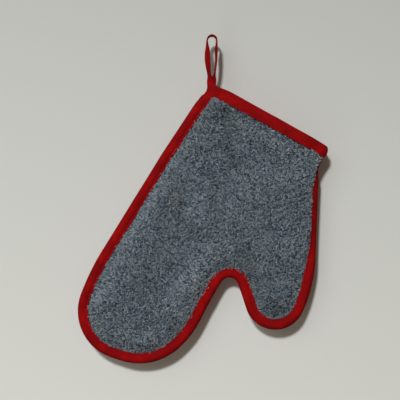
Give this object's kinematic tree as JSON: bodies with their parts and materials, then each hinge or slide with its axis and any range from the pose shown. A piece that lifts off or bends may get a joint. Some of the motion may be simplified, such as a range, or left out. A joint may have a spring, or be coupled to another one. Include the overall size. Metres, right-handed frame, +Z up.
{
  "type": "wash mitt",
  "caption": "Thumbed wash mitt of short-pile terry cloth, padded and lined, bound all round in tape, with a folding tape loop to hang it by.",
  "frame": {"origin": "axis of the hanging loop's bight, where a hook bears", "axes": "+Z up as the mitt hangs, +Y towards the wall behind it and along the hook, +X to the right as seen from the front"},
  "size_m": [0.2654, 0.043, 0.3459],
  "materials": {
    "terry": "matte",
    "wadding": "matte",
    "lining": "matte",
    "binding": "matte",
    "thread": "matte"
  },
  "bodies": {
    "loop": {"hanging_loop": "binding", "loop_edge_thread": "thread"},
    "mitt": {"front_terry_panel": "terry", "back_terry_panel": "terry", "front_wadding": "wadding", "back_wadding": "wadding", "front_lining": "lining", "back_lining": "lining", "side_binding": "binding", "side_seam_thread": "thread", "cuff_binding": "binding", "cuff_seam_thread": "thread", "loop_bartack": "thread"}
  },
  "joints": [
    {"name": "loop_fold", "type": "hinge", "parent": "loop", "child": "mitt", "pos_m": [0, 0, -0.038], "axis": [1, 0, 0], "range_deg": [-125, 125]}
  ]
}
